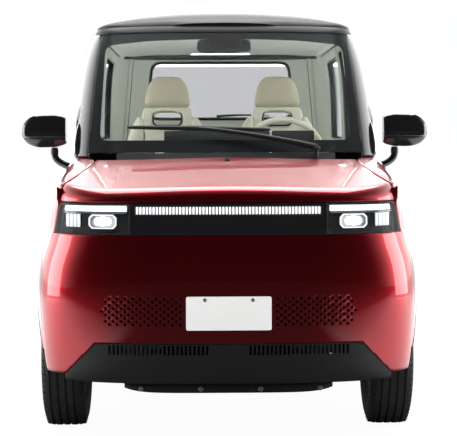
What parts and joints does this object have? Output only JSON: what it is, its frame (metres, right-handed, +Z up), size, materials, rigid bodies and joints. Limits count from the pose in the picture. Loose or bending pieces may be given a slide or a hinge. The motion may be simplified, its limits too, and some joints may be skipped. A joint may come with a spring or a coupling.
{
  "type": "microcar",
  "caption": "Small two-door electric car with a red body, black roof and pillars, full-width lamp strip, opening doors, hood and tailgate, and wheels that roll and steer.",
  "frame": {"origin": "on the ground under the middle of the car's length and width", "axes": "+Z up, -Y towards the front of the car, +X towards the car's left side"},
  "size_m": [1.632, 2.9539, 1.6205],
  "materials": {
    "body_paint": "metallic red with clear coat",
    "roof_black": "gloss black",
    "lamp_panel": "gloss black",
    "light_lens": "pale ribbed lens",
    "lamp_lens": "clear lens",
    "slat_metal": "satin",
    "apron_black": "grained matte black",
    "window_glass": "clear glass",
    "mirror_black": "gloss black",
    "plate_white": "blank white plate",
    "wiper_black": "matte black",
    "tail_lens": "red lens",
    "frame_paint": "satin black",
    "floor_carpet": "dark carpet",
    "battery_case": "cast case",
    "bare_metal": "bare metal",
    "dash_cream": "cream",
    "screen_black": "dark screen",
    "wheel_cream": "cream",
    "seat_leather": "cream and beige",
    "headliner": "pale cloth",
    "tyre": "black tyre",
    "rim_metal": "silver paint"
  },
  "bodies": {
    "car_body": {"arch_liners": "apron_black", "arch_trims": "apron_black", "battery_pack": "battery_case", "cabin_trim": "headliner", "chassis_frame": "frame_paint", "cowl": "apron_black", "dash_fittings": "screen_black", "dashboard": "dash_cream", "fenders": "body_paint", "floor_pan": "floor_carpet", "front_fascia": "body_paint", "front_pillars": "roof_black", "headlamp_housings": "lamp_panel", "headlamp_lenses": "lamp_lens", "lamp_bar": "lamp_panel", "lamp_slats": "slat_metal", "light_strip": "light_lens", "lower_apron": "apron_black", "number_plate": "plate_white", "quarter_frames": "roof_black", "quarter_glass": "window_glass", "quarter_panels": "body_paint", "rear_axle": "frame_paint", "rear_bench": "seat_leather", "rear_bumper": "body_paint", "rear_lamps": "tail_lens", "rear_skirt": "apron_black", "roof_panel": "roof_black", "seat_backs": "seat_leather", "seat_cushions": "seat_leather", "sills": "apron_black", "steering_column": "dash_cream", "suspension": "frame_paint", "windscreen": "window_glass", "wiper": "wiper_black"},
    "hood": {"hood": "body_paint"},
    "tailgate": {"tailgate_panel": "body_paint", "tailgate_frame": "roof_black", "tailgate_glass": "window_glass"},
    "door_left": {"door_left_panel": "body_paint", "door_left_frame": "roof_black", "door_left_glass": "window_glass", "door_left_mirror": "mirror_black"},
    "door_right": {"door_right_panel": "body_paint", "door_right_frame": "roof_black", "door_right_glass": "window_glass", "door_right_mirror": "mirror_black"},
    "steering_wheel": {"steering_wheel": "wheel_cream"},
    "steering_rack": {"rack_bar": "bare_metal"},
    "knuckle_left": {"knuckle_left": "bare_metal"},
    "knuckle_right": {"knuckle_right": "bare_metal"},
    "wheel_front_left": {"tyre_front_left": "tyre", "rim_front_left": "rim_metal"},
    "wheel_front_right": {"tyre_front_right": "tyre", "rim_front_right": "rim_metal"},
    "wheel_rear_left": {"tyre_rear_left": "tyre", "rim_rear_left": "rim_metal"},
    "wheel_rear_right": {"tyre_rear_right": "tyre", "rim_rear_right": "rim_metal"}
  },
  "joints": [
    {"name": "hood_hinge", "type": "hinge", "parent": "car_body", "child": "hood", "pos_m": [0, -0.905, 0.97], "axis": [-1, 0, 0], "range_deg": [0, 45]},
    {"name": "tailgate_hinge", "type": "hinge", "parent": "car_body", "child": "tailgate", "pos_m": [0, 1.318, 1.5125], "axis": [1, 0, 0], "range_deg": [0, 75]},
    {"name": "door_left_hinge", "type": "hinge", "parent": "car_body", "child": "door_left", "pos_m": [0.636, -0.562, 0.6], "axis": [0, 0, -1], "range_deg": [0, 65]},
    {"name": "door_right_hinge", "type": "hinge", "parent": "car_body", "child": "door_right", "pos_m": [-0.636, -0.562, 0.6], "axis": [0, 0, 1], "range_deg": [0, 65]},
    {"name": "steer_left", "type": "hinge", "parent": "car_body", "child": "knuckle_left", "pos_m": [0.5, -0.93, 0.266], "axis": [0, 0, 1], "range_deg": [-32, 32]},
    {"name": "steer_right", "type": "hinge", "parent": "car_body", "child": "knuckle_right", "pos_m": [-0.5, -0.93, 0.266], "axis": [0, 0, 1], "range_deg": [-32, 32]},
    {"name": "steering_wheel_turn", "type": "hinge", "parent": "car_body", "child": "steering_wheel", "pos_m": [0.248, -0.215, 1], "axis": [0, 0.9135, 0.4067], "range_deg": [-541, 541]},
    {"name": "rack_slide", "type": "slide", "parent": "car_body", "child": "steering_rack", "axis": [1, 0, 0], "range_m": [-0.0595, 0.0595]},
    {"name": "wheel_front_left_spin", "type": "hinge", "parent": "knuckle_left", "child": "wheel_front_left", "pos_m": [0.6, -0.93, 0.266], "axis": [1, 0, 0], "continuous": true},
    {"name": "wheel_rear_left_spin", "type": "hinge", "parent": "car_body", "child": "wheel_rear_left", "pos_m": [0.6, 0.95, 0.266], "axis": [1, 0, 0], "continuous": true},
    {"name": "wheel_front_right_spin", "type": "hinge", "parent": "knuckle_right", "child": "wheel_front_right", "pos_m": [-0.6, -0.93, 0.266], "axis": [1, 0, 0], "continuous": true},
    {"name": "wheel_rear_right_spin", "type": "hinge", "parent": "car_body", "child": "wheel_rear_right", "pos_m": [-0.6, 0.95, 0.266], "axis": [1, 0, 0], "continuous": true}
  ],
  "couplings": [
    {"joint": "steer_right", "follows": "steer_left", "ratio": 1},
    {"joint": "steering_wheel_turn", "follows": "steer_left", "ratio": 16.9},
    {"joint": "rack_slide", "follows": "steer_left", "m_per_rad": -0.105}
  ]
}
